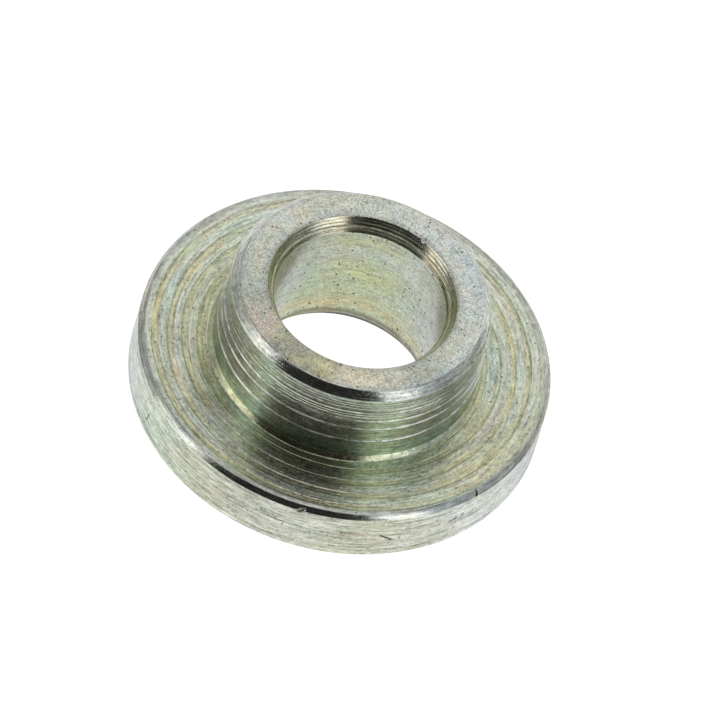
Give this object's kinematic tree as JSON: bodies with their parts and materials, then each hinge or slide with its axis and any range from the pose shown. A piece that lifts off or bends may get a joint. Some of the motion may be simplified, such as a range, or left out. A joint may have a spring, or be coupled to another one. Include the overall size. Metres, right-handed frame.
{
  "type": "flanged shaft collar",
  "caption": "Plated steel shaft collar: a short hub on a round disc flange, with a plain through bore countersunk at both ends.",
  "frame": {"origin": "centre of the bore at the flange's underside", "axes": "+Z along the bore axis, from the flange towards the hub's end face; the part is round, so +X and +Y are any two directions across it"},
  "size_m": [0.024, 0.024, 0.009],
  "materials": {
    "zinc_plated_steel": "turned steel with visible feed marks, zinc plated, with a thin clear to yellow passivate that shades from grey-green to ochre"
  },
  "bodies": {
    "root": {"flanged_collar": "zinc_plated_steel"}
  },
  "joints": []
}
